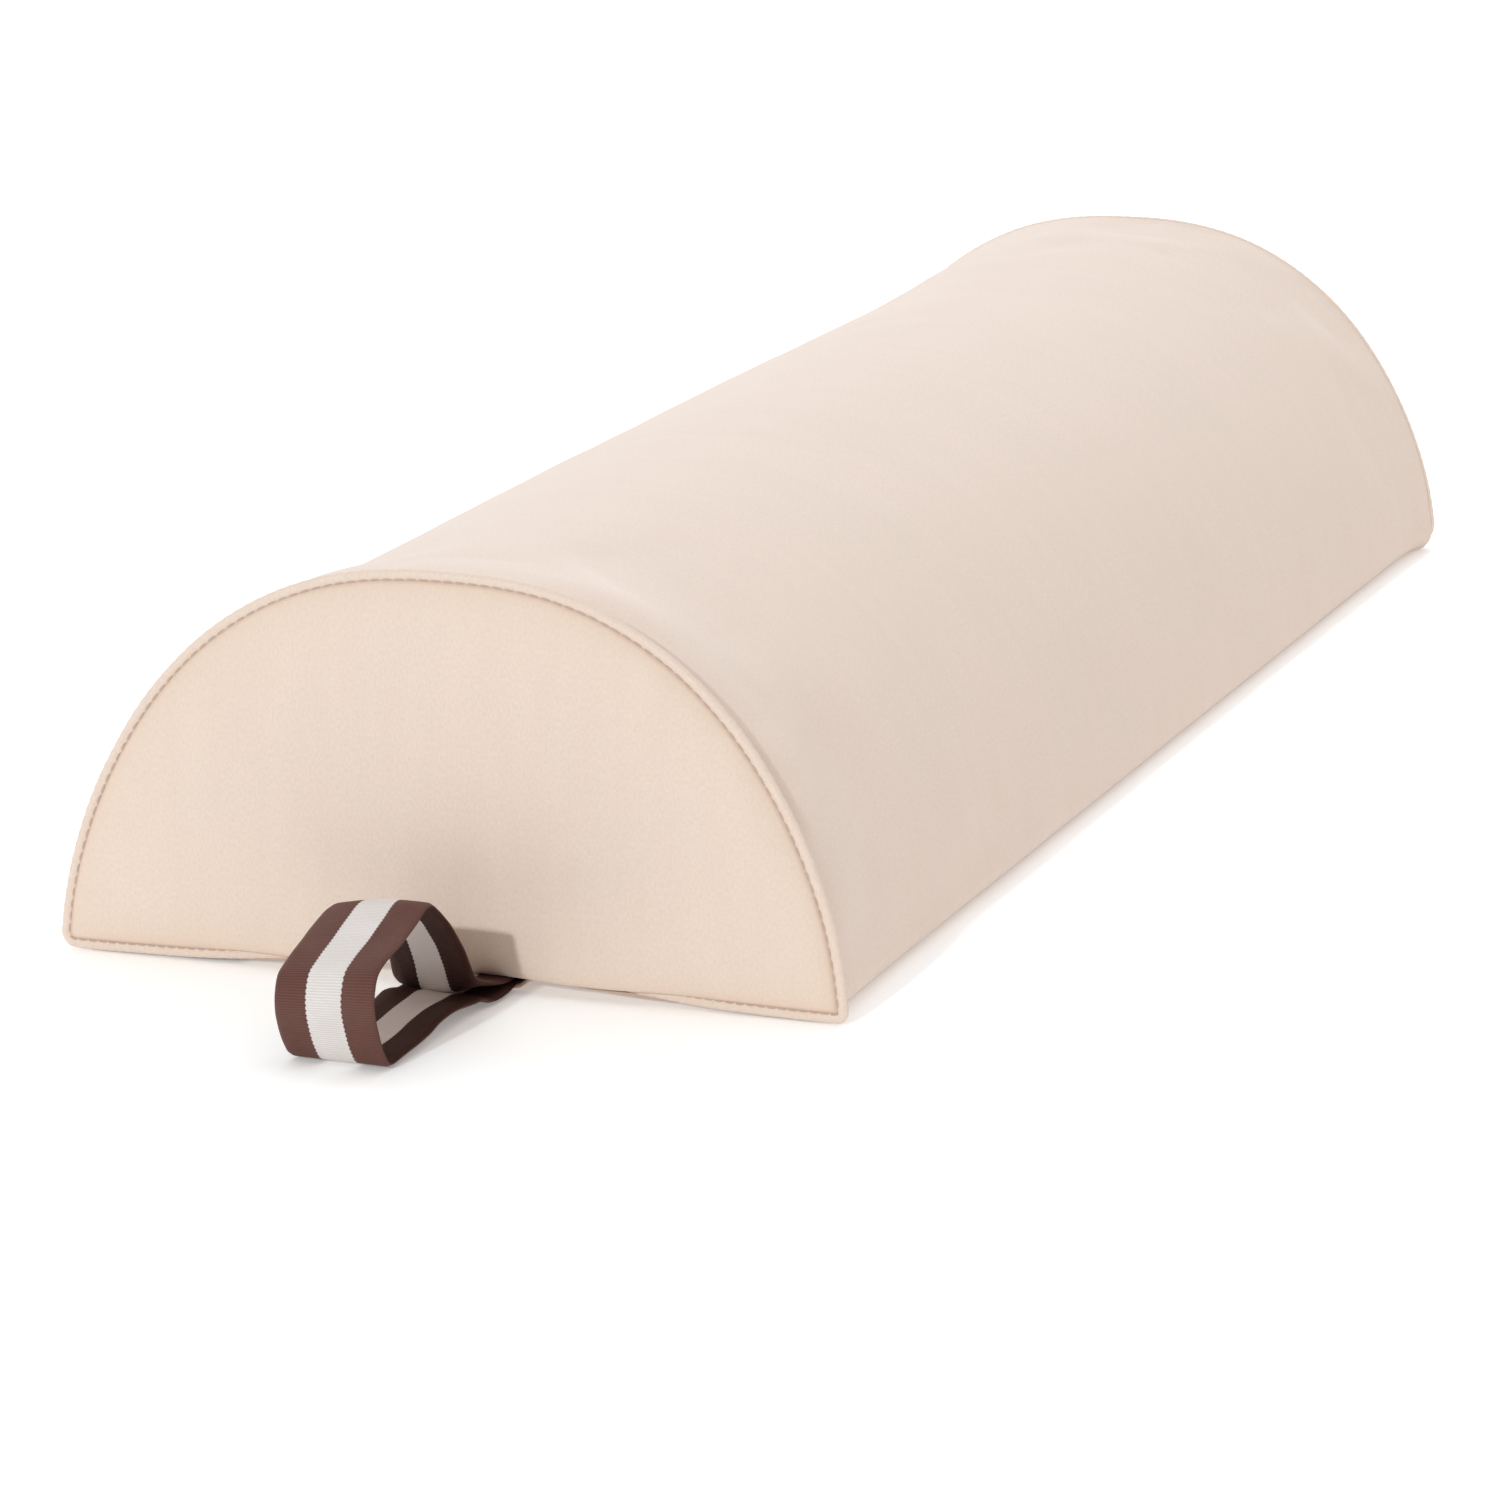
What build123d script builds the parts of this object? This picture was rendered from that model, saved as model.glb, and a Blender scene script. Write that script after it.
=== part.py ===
from build123d import *

import os

# Half-round massage bolster: a D-section foam block in a sewn vinyl cover, with a webbing
# carry loop at one end and a recessed zip in the underside.
# Frame: X along the length with the strap at -X, Y across, +Z up.
# The origin is the centre of the underside, on the plane that the bolster rests on.
# All sizes are in millimetres.

# Whole bolster, measured over the seam lips
LENGTH = 660.0
WIDTH = 230.0
HEIGHT = 114.0

# Cover material and seams
VINYL = 1.1                 # thickness of the vinyl sheet
PLY_GAP = 0.1               # air between two plies, and between cover and foam
FOAM_RELIEF = 1.6           # height cut from the foam above the long seam allowances
LIP = 3.2                   # thickness and height of the sewn lip round each end
WAIST = 0.2                 # step between the inside of the lip and the barrel
SHOULDER = 6.0              # height at which the upright sides turn into the half-round top
ARCH = 4.5                  # rise of the lip's bottom run over the strap
ARCH_HALF = 85.0            # half the width of that arch
ALLOWANCE = 10.0            # width of a folded seam allowance
LIP_CORNER = 4.5            # radius of the lip at the two lower corners of an end
PANEL_CORNER = 2.0          # radius of the end panel and of the lip's inner edge there
EDGE_RADIUS = 3.5           # radius of the long bottom edges
SEAM_INSET = 4.3            # distance of the long seams inside the barrel's sides
THREAD = 0.5                # thickness of the sewing thread
STITCH = 2.6                # length of one stitch
STITCH_PITCH = 4.0          # distance from one stitch to the next

# Webbing loop
STRAP_WIDTH = 29.0
STRAP_PLY = 1.4
STRAP_Y = -2.4              # the loop is sewn in slightly off the middle
STRAP_LIFT = 2.7            # height of the middle of the two plies at the root
STRAP_ROOT = 332.5          # distance of the fold axis from the middle of the bolster
TAIL_END = 302.0            # inner end of the sewn tail

# Zip, recessed in the underside near the rear long edge
ZIP_Y = 70.0
ZIP_GAP = 16.0              # opening between the two base panels
ZIP_LENGTH = 608.0          # distance between the outer faces of the two stops
TAPE = 0.5
TAPE_WIDTH = 15.7
TAPE_BOTTOM = 5.1
TOOTH = (1.3, 3.0, 2.6)
TOOTH_PITCH = 3.0
ROW_GAP = 1.2               # space between the two rows, where the slider's post runs
STOP = 3.0
SLIDER_LENGTH = 11.0
SLIDER_WIDTH = 10.4
PLATE = 1.0
PIN_RADIUS = 0.6
PIN_RUNNING = 0.06          # radial clearance of the pull's eye on its pin
PIN_Z = 1.45
EYE_RADIUS = 1.2
PULL_LENGTH = 22.0
PULL_WIDTH = 6.0

# Values that follow from the sizes above
BARREL_HALF = WIDTH / 2 - LIP - WAIST
BARREL_TOP = HEIGHT - LIP - WAIST
BARREL_END = LENGTH / 2 - LIP - PLY_GAP
FLANGE_BOTTOM = 2 * (VINYL + PLY_GAP)
PANEL_FACE = LENGTH / 2 - 1.0
ZIP_FLANGE_TOP = TAPE_BOTTOM - PLY_GAP
TEETH_Z = TAPE_BOTTOM + TAPE / 2
SLIDER_REST = ZIP_LENGTH / 2 - STOP - SLIDER_LENGTH / 2 - 1.0

os.makedirs("parts", exist_ok=True)


def save(name, shape):
    """Write one node."""
    export_step(shape, f"parts/{name}.step")


def d_outline(half, top, bottom, corner, arch=0.0):
    """D-shaped face in the YZ plane: half-ellipse top, upright sides and a flat or arched base."""
    with BuildSketch(Plane.YZ) as sketch:
        with BuildLine():
            EllipticalCenterArc((0, SHOULDER), half, top - SHOULDER, 0, arc_size=180)
            Line((-half, SHOULDER), (-half, bottom))
            if arch:
                Line((-half, bottom), (-ARCH_HALF, bottom))
                ThreePointArc((-ARCH_HALF, bottom), (0, bottom + arch), (ARCH_HALF, bottom))
                Line((ARCH_HALF, bottom), (half, bottom))
            else:
                Line((-half, bottom), (half, bottom))
            Line((half, bottom), (half, SHOULDER))
        make_face()
        if corner:
            lowest = sketch.vertices().filter_by(lambda v: v.Z < bottom + 0.01)
            fillet(lowest.filter_by(lambda v: abs(abs(v.Y) - half) < 0.01), corner)
    return sketch.sketch.face()


def prism(face, half_length):
    """Extrude a YZ face evenly to both sides of the middle."""
    return extrude(face, amount=half_length, dir=(1, 0, 0), both=True)


def block(x, y, z):
    """Box between two limits along each axis."""
    size = [high - low for low, high in (x, y, z)]
    middle = [(low + high) / 2 for low, high in (x, y, z)]
    return Pos(*middle) * Box(*size)


def stitch(depth):
    """One stitch: a bar along X on the plane z = 0, with its two legs going down through the plies."""
    bar = Box(STITCH, THREAD, THREAD)
    leg = Pos(0, 0, -depth / 2) * Box(THREAD, THREAD, depth)
    reach = STITCH / 2 - THREAD / 2
    return bar + Pos(-reach, 0, 0) * leg + Pos(reach, 0, 0) * leg


def stitch_row(y, z, depth, half_length):
    """A straight row of stitches along X, as separate solids."""
    one = stitch(depth)
    count = int(2 * half_length / STITCH_PITCH)
    start = -(count - 1) * STITCH_PITCH / 2
    return Compound([Pos(start + i * STITCH_PITCH, y, z) * one for i in range(count)])


def foam_core():
    """Solid foam block, relieved over the seam allowances, the zip and the strap's tail."""
    play = VINYL + 3 * PLY_GAP
    half = BARREL_HALF - play
    length = BARREL_END - PLY_GAP
    core = prism(d_outline(half, BARREL_TOP - play, VINYL + PLY_GAP, 0), length)
    over_flanges = FLANGE_BOTTOM + VINYL + FOAM_RELIEF
    for side in (-1, 1):
        inner = side * (BARREL_HALF - SEAM_INSET - ALLOWANCE - 2)
        outer = side * (half + 1)
        core -= block((-length, length), sorted((inner, outer)), (0, over_flanges))
    trough = ZIP_GAP / 2 + ALLOWANCE + 2
    core -= block((-length, length), (ZIP_Y - trough, half + 1), (0, over_flanges))
    core -= block((-length, length), (ZIP_Y - trough, ZIP_Y + trough), (0, TAPE_BOTTOM + 1.2))
    tunnel = SLIDER_WIDTH / 2 + 1.3
    core -= block((-length, length), (ZIP_Y - tunnel, ZIP_Y + tunnel), (0, TEETH_Z + 3.3))
    notch = STRAP_WIDTH / 2 + 2
    core -= block((-length, -TAIL_END + 3), (STRAP_Y - notch, STRAP_Y + notch), (0, STRAP_LIFT + 2.3))
    return core


def barrel_panel():
    """Vinyl sheet over the top and both sides, with an inward flange along each long edge."""
    outer = d_outline(BARREL_HALF, BARREL_TOP, FLANGE_BOTTOM, EDGE_RADIUS)
    lining = (BARREL_HALF - VINYL, BARREL_TOP - VINYL, FLANGE_BOTTOM + VINYL)
    inner = d_outline(*lining, EDGE_RADIUS - VINYL)
    opening = 2 * (BARREL_HALF - ALLOWANCE)
    slot = Plane.YZ * Pos(0, FLANGE_BOTTOM) * Rectangle(opening, 4 * VINYL)
    return prism((outer - inner - slot).face(), BARREL_END)


def base_panel(seam_side, zip_side):
    """Flat vinyl panel: folded back at the long seam, and turned up and back at the zip."""
    toward_zip = 1 if zip_side > seam_side else -1

    def strip(start, width, low, high):
        """Rectangle that starts at one edge and runs towards the middle of the panel."""
        end = start + width
        middle = ((start + end) / 2, (low + high) / 2)
        return Plane.YZ * Pos(*middle) * Rectangle(abs(width), high - low)

    section = strip(seam_side, zip_side - seam_side, 0, VINYL)
    section += strip(seam_side, toward_zip * VINYL, 0, FLANGE_BOTTOM - PLY_GAP)
    section += strip(seam_side, toward_zip * ALLOWANCE, VINYL + PLY_GAP, FLANGE_BOTTOM - PLY_GAP)
    section += strip(zip_side, -toward_zip * VINYL, 0, ZIP_FLANGE_TOP)
    section += strip(zip_side, -toward_zip * ALLOWANCE, ZIP_FLANGE_TOP - VINYL, ZIP_FLANGE_TOP)
    return prism(section.face(), BARREL_END)


def end_panel(side):
    """D-shaped vinyl panel that closes one end, inside the seam lip."""
    inset = LIP + 0.3
    arch = ARCH if side < 0 else 0
    face = d_outline(WIDTH / 2 - inset, HEIGHT - inset, inset, PANEL_CORNER, arch)
    return Pos(side * (PANEL_FACE - VINYL / 2), 0, 0) * prism(face, VINYL / 2)


def seam_lip(side):
    """Rounded lip of folded seam allowances round one end."""
    arch = ARCH if side < 0 else 0
    outer = d_outline(WIDTH / 2, HEIGHT, 0, LIP_CORNER, arch)
    inner = d_outline(WIDTH / 2 - LIP, HEIGHT - LIP, LIP, PANEL_CORNER, arch)
    ring = prism((outer - inner).face(), LIP / 2)
    ring = fillet(ring.faces().filter_by(Axis.X).edges(), LIP / 2 - 0.1)
    return Pos(side * (LENGTH / 2 - LIP / 2), 0, 0) * ring


def end_seam_thread(side):
    """Stitches round one end, just inside the lip."""
    inset = LIP + 1.6
    arch = ARCH if side < 0 else 0
    path = d_outline(WIDTH / 2 - inset, HEIGHT - inset, inset, PANEL_CORNER, arch).outer_wire()
    count = int(path.length / STITCH_PITCH)
    one = stitch(VINYL)
    stitches = []
    for i in range(count):
        place = (i + 0.5) / count
        point = path @ place + Vector(side * (PANEL_FACE + THREAD / 2), 0, 0)
        stitches.append(Plane(origin=point, x_dir=path % place, z_dir=(side, 0, 0)) * one)
    return Compound(stitches)


def long_seam_thread(side):
    """Hidden stitches through the barrel's flange and the base panel's folded edge."""
    y = side * (BARREL_HALF - SEAM_INSET - 2.7)
    top = FLANGE_BOTTOM + VINYL + THREAD / 2
    return stitch_row(y, top, 2 * VINYL + PLY_GAP, BARREL_END - 6)


def zip_tape(side):
    """Woven tape of one half of the zip."""
    edge = ROW_GAP / 2 + 1.2
    y = sorted((ZIP_Y + side * edge, ZIP_Y + side * (edge + TAPE_WIDTH)))
    reach = ZIP_LENGTH / 2 + 14
    return block((-reach, reach), y, (TAPE_BOTTOM, TAPE_BOTTOM + TAPE))


def zip_teeth(side):
    """One row of moulded teeth, staggered by half a pitch against the other row."""
    tooth = Box(*TOOTH)
    tooth = fillet(tooth.edges().filter_by(Axis.Z), 0.3)
    y = ZIP_Y + side * (ROW_GAP / 2 + TOOTH[1] / 2)
    reach = ZIP_LENGTH / 2 - STOP - TOOTH_PITCH
    count = int(2 * reach / TOOTH_PITCH)
    start = -(count - 1) * TOOTH_PITCH / 2 + side * TOOTH_PITCH / 4
    return Compound([Pos(start + i * TOOTH_PITCH, y, TEETH_Z) * tooth for i in range(count)])


def zip_stop(side):
    """Stop clamped over both tapes at one end of the rows."""
    width = ROW_GAP + 2 * TOOTH[1]
    x = side * (ZIP_LENGTH / 2 - STOP / 2)
    body = Pos(x, ZIP_Y, TEETH_Z) * Box(STOP, width, TOOTH[2])
    return fillet(body.edges().filter_by(Axis.Z), 0.5)


def zip_stitching(side):
    """Stitches that hold one tape to the folded edge of its base panel."""
    y = ZIP_Y + side * (ZIP_GAP / 2 + 5)
    return stitch_row(y, TAPE_BOTTOM + TAPE + THREAD / 2, TAPE + VINYL + PLY_GAP, ZIP_LENGTH / 2)


def zip_slider():
    """Slider: two plates on a thin post, with side rails and two lugs for the pull's pin."""
    half = SLIDER_LENGTH / 2
    wide = SLIDER_WIDTH / 2
    rail = 1.0
    tape_gap = 0.2
    low = TEETH_Z - TOOTH[2] / 2 - 0.25
    high = TEETH_Z + TOOTH[2] / 2 + 0.25
    body = block((-half, half), (-wide, wide), (low - PLATE, low))
    body += block((-half, half), (-wide, wide), (high, high + PLATE))
    body = fillet(body.edges().filter_by(Axis.Z), 2.0)
    body += block((-2.5, 2.5), (-ROW_GAP / 2 + 0.15, ROW_GAP / 2 - 0.15), (low, high))
    for y in ((-wide, rail - wide), (wide - rail, wide)):
        body += block((-half + 2.5, half - 2.5), y, (low, TAPE_BOTTOM - tape_gap))
        body += block((-half + 2.5, half - 2.5), y, (TAPE_BOTTOM + TAPE + tape_gap, high))
    for y in ((-3.1, -2.3), (2.3, 3.1)):
        lug = block((-EYE_RADIUS, EYE_RADIUS), y, (PIN_Z, low - PLATE))
        lug += Pos(0, sum(y) / 2, PIN_Z) * Rot(90, 0, 0) * Cylinder(EYE_RADIUS, 0.8)
        body += lug
    body -= Pos(0, 0, PIN_Z) * Rot(90, 0, 0) * Cylinder(PIN_RADIUS, SLIDER_WIDTH)
    return Pos(SLIDER_REST, ZIP_Y, 0) * body


def pull_pin():
    """Pin across the slider's lugs."""
    return Pos(SLIDER_REST, ZIP_Y, PIN_Z) * Rot(90, 0, 0) * Cylinder(PIN_RADIUS, 6.2)


def zip_pull():
    """Flat pull tab with an eye on the pin, lying along the zip."""
    eye = Rot(90, 0, 0) * Cylinder(EYE_RADIUS, 4.0)
    neck = block((-8, 0), (-2, 2), (-0.45, 0.45))
    tab = block((-PULL_LENGTH, -6), (-PULL_WIDTH / 2, PULL_WIDTH / 2), (-0.45, 0.45))
    tab = fillet(tab.edges().filter_by(Axis.Z), 1.8)
    hole = Pos(-PULL_LENGTH + 5, 0, 0) * Box(5, 2.4, 2)
    pull = eye + neck + tab - hole - Rot(90, 0, 0) * Cylinder(PIN_RADIUS + PIN_RUNNING, 5)
    return Pos(SLIDER_REST, ZIP_Y, PIN_Z) * pull


def strap_tail():
    """The two plies of webbing sewn between the end seam and the base panel."""
    low = STRAP_LIFT - STRAP_PLY - PLY_GAP / 2
    high = STRAP_LIFT + STRAP_PLY + PLY_GAP / 2
    sides = (STRAP_Y - STRAP_WIDTH / 2, STRAP_Y + STRAP_WIDTH / 2)
    return block((-STRAP_ROOT + 2.4, -TAIL_END), sides, (low, high))


def strap_bartack():
    """Two rows of stitches across the strap's tail, through both plies and the base panel."""
    depth = 2 * STRAP_PLY + PLY_GAP + VINYL
    one = Rot(0, 0, 90) * stitch(depth)
    top = STRAP_LIFT + STRAP_PLY + PLY_GAP / 2 + THREAD / 2
    count = 7
    rows = (-TAIL_END - 7, -TAIL_END - 17)
    start = STRAP_Y - (count - 1) * STITCH_PITCH / 2
    places = [(x, start + i * STITCH_PITCH, top) for x in rows for i in range(count)]
    return Compound([Pos(*place) * one for place in places])


def carry_strap():
    """Webbing loop: a band that leaves the root, rises, folds over and comes back along the floor."""
    ply = STRAP_PLY / 2
    offset = ply + PLY_GAP / 2
    route = [
        (1.8, STRAP_LIFT + offset),
        (17, 8.5),
        (45, 36.0),
        (84, 28.6),
        (88, 18.0),
        (77, ply),
        (34, 2.2),
        (14, ply + 0.2),
        (1.8, STRAP_LIFT - offset),
    ]
    points = [(-STRAP_ROOT + 2.5 - u, z) for u, z in route]
    path = Plane.XZ * FilletPolyline(*points, radius=[14, 7, 5, 12, 4.5, 60, 14])
    start = Plane(origin=path @ 0, z_dir=path % 0, x_dir=(0, 1, 0))
    band = sweep(start * Rectangle(STRAP_WIDTH, STRAP_PLY), path=path)
    return Pos(0, STRAP_Y, 0) * band


save("foam_core", foam_core())
save("barrel_panel", barrel_panel())
save("base_panel_front", base_panel(-BARREL_HALF + SEAM_INSET, ZIP_Y - ZIP_GAP / 2))
save("base_panel_rear", base_panel(BARREL_HALF - SEAM_INSET, ZIP_Y + ZIP_GAP / 2))
for end, side in (("strap_end", -1), ("far_end", 1)):
    save(f"end_panel_{end}", end_panel(side))
    save(f"seam_lip_{end}", seam_lip(side))
    save(f"end_seam_thread_{end}", end_seam_thread(side))
for edge, side in (("front", -1), ("rear", 1)):
    save(f"long_seam_thread_{edge}", long_seam_thread(side))
    save(f"zip_tape_{edge}", zip_tape(side))
    save(f"zip_teeth_{edge}", zip_teeth(side))
    save(f"zip_stitching_{edge}", zip_stitching(side))
save("zip_stop_closed_end", zip_stop(1))
save("zip_stop_open_end", zip_stop(-1))
save("zip_slider", zip_slider())
save("pull_pin", pull_pin())
save("zip_pull", zip_pull())
save("strap_tail", strap_tail())
save("strap_bartack", strap_bartack())
save("carry_strap", carry_strap())
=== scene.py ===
import math

import bmesh
import bpy
import numpy as np
from mathutils import Matrix, Vector


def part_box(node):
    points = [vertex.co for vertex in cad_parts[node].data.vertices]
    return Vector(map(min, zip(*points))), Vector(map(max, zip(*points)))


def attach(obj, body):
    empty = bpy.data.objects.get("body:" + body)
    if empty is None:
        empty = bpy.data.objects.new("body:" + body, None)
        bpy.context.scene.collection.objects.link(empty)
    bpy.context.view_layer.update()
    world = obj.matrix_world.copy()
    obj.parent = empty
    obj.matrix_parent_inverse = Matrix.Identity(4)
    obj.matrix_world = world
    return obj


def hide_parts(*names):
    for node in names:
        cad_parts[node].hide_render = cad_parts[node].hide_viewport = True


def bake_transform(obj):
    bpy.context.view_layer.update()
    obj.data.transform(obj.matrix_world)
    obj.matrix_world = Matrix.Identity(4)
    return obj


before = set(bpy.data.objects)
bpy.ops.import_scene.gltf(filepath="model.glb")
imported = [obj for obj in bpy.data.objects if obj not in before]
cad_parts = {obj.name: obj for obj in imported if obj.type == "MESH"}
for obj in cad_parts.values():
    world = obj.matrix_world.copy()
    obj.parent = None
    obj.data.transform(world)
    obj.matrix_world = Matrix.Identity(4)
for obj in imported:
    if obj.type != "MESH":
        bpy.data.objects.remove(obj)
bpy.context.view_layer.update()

# Half-round massage bolster: cream vinyl cover over foam, sewn lips round both ends, a striped
# webbing loop at one end and a recessed zip underneath.
# Shapes are worked out in millimetres, in the frame of the CAD model, and made in metres.

MM = 1000.0
TAU = math.tau


def box_mm(node):
    """Lowest and highest corner of a CAD node, in millimetres."""
    return tuple(np.array(corner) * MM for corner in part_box(node))


# Sizes of the frame
LIP_LOW, LIP_HIGH = box_mm("seam_lip_far_end")
ENDS = {"strap_end": -1, "far_end": 1}
EDGES = {"front": -1, "rear": 1}
END = LIP_HIGH[0]  # outer face of the lips
HALF = LIP_HIGH[1]  # half the width over the lips
TOP = LIP_HIGH[2]  # height over the lips
LIP = LIP_HIGH[0] - LIP_LOW[0]
BARREL_END = box_mm("barrel_panel")[1][0]
BARREL_INSET = HALF - box_mm("barrel_panel")[1][1]
BARREL_SLACK = -0.4  # taken off the barrel before it is blown up
FRONT_BASE = box_mm("base_panel_front")
REAR_BASE = box_mm("base_panel_rear")
FOAM = box_mm("foam_core")
TAIL = box_mm("strap_tail")

# Section of the bolster
SHOULDER = 4.1  # height at which the upright sides turn into the top
FULLNESS = 0.018  # how much the top departs from a half-ellipse
CREST = 0.3  # share of that which fills the hollow it leaves along the crest
CORNERS = {-1: (3.0, 4.5), 1: (9.0, 9.0)}  # radius of the front and rear corners of each end
EDGE_RADIUS = 7.0  # of the long bottom edges
SEAM_PLAY = 1.3  # between the long seams' two folded edges
VINYL = 1.05  # thickness of the cover
CLOTH_STEPS = 20
CLOTH = dict(
    quality=6, mass=0.2, tension_stiffness=25, compression_stiffness=25, shear_stiffness=10,
    bending_stiffness=20, use_pressure=True, uniform_pressure_force=4)
BLOCK = 4000  # points worked on at a time where every pair is measured
STRAP_LIFT = 5.0  # how far the strap holds the bottom of its end seam off the floor
STRAP_PULL = 4.4  # how far it draws that seam under the bolster
TUCK_RISE = 0.27  # how much the seam rises for each millimetre that it is drawn in

# End seams
STITCHES = 174  # round one end
STITCH_PITCH = 3.0
END_STITCH = (3.15, 0.75, 0.5)  # length, width and height of a stitch
LONG_STITCH = (2.6, 0.5, 0.45)  # the same, of the long seams, the zip and the strap's tail
LONG_PITCH = 4.0
SPOKES = 6 * STITCHES
CORNER_SHARE = 0.217  # share of the outline from the middle of the base to a corner
GROOVE = 2.7  # distance of the stitched groove from the rim
GROOVE_DEPTH = 0.9
CROWN = 2.3  # how far the end panels stand out beyond the lips
CROWN_RUN = 3.3
DOME = 1.2

# Webbing loop: distance out from the end plane and height of its middle, how much further out and
# how much higher the front edge is than the middle, the shift towards the rear, and how much
# higher both edges are than a straight line across
STRAP_Y = (TAIL[0][1] + TAIL[1][1]) / 2
STRAP_HALF = (TAIL[1][1] - TAIL[0][1]) / 2
STRAP_PLY = 1.35
ROOT_SHADE = 0.75  # strength of the painted shade at the sewn root, 1 as dark as the painted shade inside the loop
RIB = 0.72
LOOP = [
    (-28, 3.45, 0, 0, -2, 0), (-10, 3.45, 0, 0, -2, 0), (0, 3.2, 0.2, 0.1, -2, 0),
    (5, 3.4, 1.2, 0.9, -2, 0), (10, 3.2, 3.2, 1.85, -1.9, 1.3), (14.5, 3.1, 6, 2.85, -1.8, 3.1),
    (17.3, 7.1, 6.2, 2.6, -1.8, 1), (20, 12.3, 6, 0.8, -1.8, 0), (23.6, 18.5, 6.2, 0.5, -1.4, 0),
    (28, 23.4, 6.2, 0.9, -1, 0), (32.5, 27.9, 6, 1.5, -0.5, -0.3), (40.2, 32.7, 4.2, 2, 0, -0.9),
    (48.8, 36, 1.8, 1.8, 0, -1.1), (58, 34, 1, 1.1, 0, -0.9), (69.2, 30.5, 0.8, 1.1, 0, -0.4),
    (78.9, 27.7, 0.9, 1.6, 0, 0), (84.4, 25.5, 1.2, 1.5, 0, 0), (86.6, 21.4, 1.4, 1.1, 0, 0),
    (86.5, 16.9, 1.3, 1.1, 0, 0), (84.8, 11.8, 1, 0.8, 0, 0), (81.7, 5.5, 0.9, 0.3, -0.2, 0),
    (77.6, 1.3, 0.8, 0.1, -0.4, 0), (70.5, 0.7, 0.5, 1, -0.7, 0), (62, 0.6, 0.5, 1.9, -1.2, 0),
    (54, 0.9, 0.5, 2.4, -1.4, 0), (47, 1.4, 0.5, 3, -1.4, 0), (40, 2.2, 0.5, 2.7, -1.4, 0),
    (32, 2.5, 0.5, 1.9, -1.4, 0), (24, 2.4, 0.3, 0.9, -1.5, 0), (18, 2.6, 0, 0.1, -1.9, 0),
    (12, 1.85, 0, -0.3, -2.7, -0.7), (5, 1.8, 0, -0.35, -3.1, -0.6), (-2, 1.9, 0, -0.2, -2.6, -0.5),
    (-10, 1.95, 0, 0, -2, 0), (-28, 1.95, 0, 0, -2, 0),
]


# ---- helpers

def smooth(x):
    """Smooth step from 0 to 1."""
    x = np.clip(x, 0, 1)
    return x * x * (3 - 2 * x)


def bell(x, width):
    """Bell curve of height 1."""
    return np.exp(-(x / width) ** 2)


def waves(seed, a, b, lengths, count):
    """Smooth random field over two coordinates: seeded sine waves, about -1 to 1."""
    draw = np.random.default_rng(seed)
    total = np.zeros(np.broadcast(a, b).shape)
    for _ in range(count):
        angle = draw.uniform(0, TAU)
        length = draw.uniform(*lengths)
        phase = draw.uniform(0, TAU)
        total += np.sin((a * math.cos(angle) + b * math.sin(angle)) * TAU / length + phase)
    return total / math.sqrt(2 * count)


def cubic(values, at):
    """Catmull-Rom interpolation along the first axis, at fractional positions."""
    last = len(values) - 1
    i = np.clip(np.floor(at).astype(int), 0, last - 1)
    f = (at - i).reshape(-1, *[1] * (values.ndim - 1))
    before, here, after, beyond = (values[np.clip(i + k, 0, last)] for k in (-1, 0, 1, 2))
    curve = 2 * here + (after - before) * f
    curve += (2 * before - 5 * here + 4 * after - beyond) * f ** 2
    curve += (3 * here - before - 3 * after + beyond) * f ** 3
    return curve / 2


def unit(vectors):
    """Vectors scaled to length 1."""
    return vectors / np.linalg.norm(vectors, axis=-1, keepdims=True)


def along(points):
    """Distance along a polyline at each of its points."""
    steps = np.linalg.norm(np.diff(points, axis=0), axis=1)
    return np.concatenate([[0], np.cumsum(steps)])


def at_distance(points, distances):
    """Points of a polyline at given distances along it."""
    run = along(points)
    return np.stack([np.interp(distances, run, points[:, k]) for k in range(points.shape[1])], axis=1)


def graded(low, high, fine, coarse, run):
    """Positions from low to high, spaced finely at both ends and coarsely in the middle."""
    found = [low]
    middle = (low + high) / 2
    while found[-1] < middle:
        found.append(found[-1] + fine + (coarse - fine) * min((found[-1] - low) / run, 1))
    half = (np.array(found) - low) * (middle - low) / (found[-1] - low)
    return np.concatenate([low + half, (high - half)[-2::-1]])


def grid_faces(rows, columns, wrap=False):
    """Quads of a grid of points, stored row by row; wrap closes each row."""
    r, c = np.meshgrid(np.arange(rows - 1), np.arange(columns if wrap else columns - 1), indexing="ij")
    after = (c + 1) % columns
    quads = [r * columns + c, r * columns + after, (r + 1) * columns + after, (r + 1) * columns + c]
    return np.stack(quads, axis=-1).reshape(-1, 4)


def tube_faces(rows, sides):
    """Quads of a tube stored row by row, with a cap on each end."""
    caps = [list(range(sides)), list(range((rows - 1) * sides, rows * sides))]
    return grid_faces(rows, sides, wrap=True).tolist() + caps


def swept(x, sections):
    """Points of the sections (y, z) that stand at each x, in one list."""
    places = np.broadcast_to(x[:, None, None], (*sections.shape[:2], 1))
    return np.concatenate([places, sections], axis=2).reshape(-1, 3)


def flat_cloth(x, run):
    """Place of a swept grid's points in the flat cloth, in metres."""
    return np.stack([np.repeat(x, len(run)), np.tile(run, len(x)), np.zeros(len(x) * len(run))], axis=1) / MM


def adjust(thing, **settings):
    """Set attributes of a thing."""
    for key, value in settings.items():
        setattr(thing, key, value)
    return thing


def new_object(name, data):
    """Object in the scene."""
    thing = bpy.data.objects.new(name, data)
    bpy.context.scene.collection.objects.link(thing)
    return thing


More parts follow.
